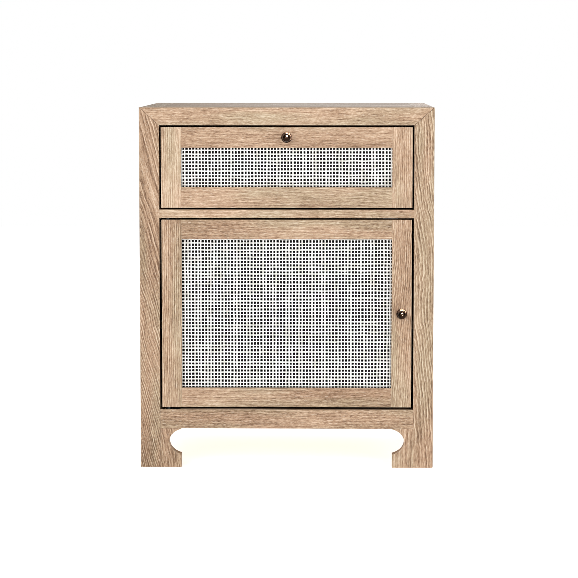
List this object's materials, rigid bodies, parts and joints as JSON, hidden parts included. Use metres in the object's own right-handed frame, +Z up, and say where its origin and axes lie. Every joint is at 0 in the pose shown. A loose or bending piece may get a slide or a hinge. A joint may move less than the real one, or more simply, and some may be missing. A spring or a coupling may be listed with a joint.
{
  "type": "nightstand",
  "caption": "Square-cased oak nightstand on bracket feet, with a drawer above a hinged cupboard door, both with woven cane panels and small ball knobs.",
  "frame": {"origin": "on the floor, at the centre of the whole footprint with the knobs included", "axes": "+X to the right and +Z up; the drawer and door face -Y, so +Y is the back"},
  "size_m": [0.56, 0.482, 0.69],
  "materials": {
    "oak": "light limed oak, open grain, matt lacquer",
    "plywood": "birch plywood and solid drawer sides, matt lacquer",
    "cane": "white painted woven cane, open square weave",
    "black_board": "matt black board",
    "bronze": "polished dark bronze",
    "steel": "zinc plated",
    "black_steel": "black coated steel",
    "plastic": "dark brown moulded plastic"
  },
  "bodies": {
    "case": {"post_front_left": "oak", "post_front_right": "oak", "post_rear_left": "oak", "post_rear_right": "oak", "top_rail_front": "oak", "top_rail_rear": "oak", "top_rail_left": "oak", "top_rail_right": "oak", "top_panel": "oak", "side_panel_left": "oak", "side_panel_right": "oak", "apron_front": "oak", "apron_rear": "oak", "apron_left": "oak", "apron_right": "oak", "foot_bracket_front_left": "oak", "foot_bracket_front_right": "oak", "foot_brackets_left": "oak", "foot_brackets_right": "oak", "mid_rail": "oak", "divider_panel": "plywood", "bottom_panel": "plywood", "back_panel": "plywood", "back_panel_screws": "steel", "shelf": "oak", "shelf_pins": "steel", "runner_blocks": "plywood", "case_runner_left": "black_steel", "case_runner_right": "black_steel", "hinge_leaves_case": "black_steel", "catch_housing": "plastic", "catch_magnet": "steel"},
    "runner_middle_left": {"middle_runner_left": "black_steel"},
    "runner_middle_right": {"middle_runner_right": "black_steel"},
    "drawer": {"drawer_stile_left": "oak", "drawer_stile_right": "oak", "drawer_rail_top": "oak", "drawer_rail_bottom": "oak", "drawer_cane": "cane", "drawer_cane_backing": "black_board", "drawer_box_front": "plywood", "drawer_box_left": "plywood", "drawer_box_right": "plywood", "drawer_box_back": "plywood", "drawer_bottom": "plywood", "drawer_front_screws": "steel", "drawer_runner_left": "black_steel", "drawer_runner_right": "black_steel", "drawer_knob": "bronze", "drawer_knob_screw": "steel"},
    "door": {"door_stile_left": "oak", "door_stile_right": "oak", "door_rail_top": "oak", "door_rail_bottom": "oak", "door_cane": "cane", "door_cane_backing": "black_board", "door_knob": "bronze", "door_knob_screw": "steel", "hinge_leaves_door": "black_steel", "catch_strike": "steel"}
  },
  "joints": [
    {"name": "drawer_slide", "type": "slide", "parent": "case", "child": "drawer", "axis": [0, -1, 0], "range_m": [0, 0.3]},
    {"name": "runner_left_slide", "type": "slide", "parent": "case", "child": "runner_middle_left", "axis": [0, -1, 0], "range_m": [0, 0.15]},
    {"name": "runner_right_slide", "type": "slide", "parent": "case", "child": "runner_middle_right", "axis": [0, -1, 0], "range_m": [0, 0.15]},
    {"name": "door_hinge", "type": "hinge", "parent": "case", "child": "door", "pos_m": [-0.226, -0.205, 0.297], "axis": [0, 0, -1], "range_deg": [0, 110]}
  ],
  "couplings": [
    {"joint": "runner_left_slide", "follows": "drawer_slide", "ratio": 0.5},
    {"joint": "runner_right_slide", "follows": "drawer_slide", "ratio": 0.5}
  ]
}
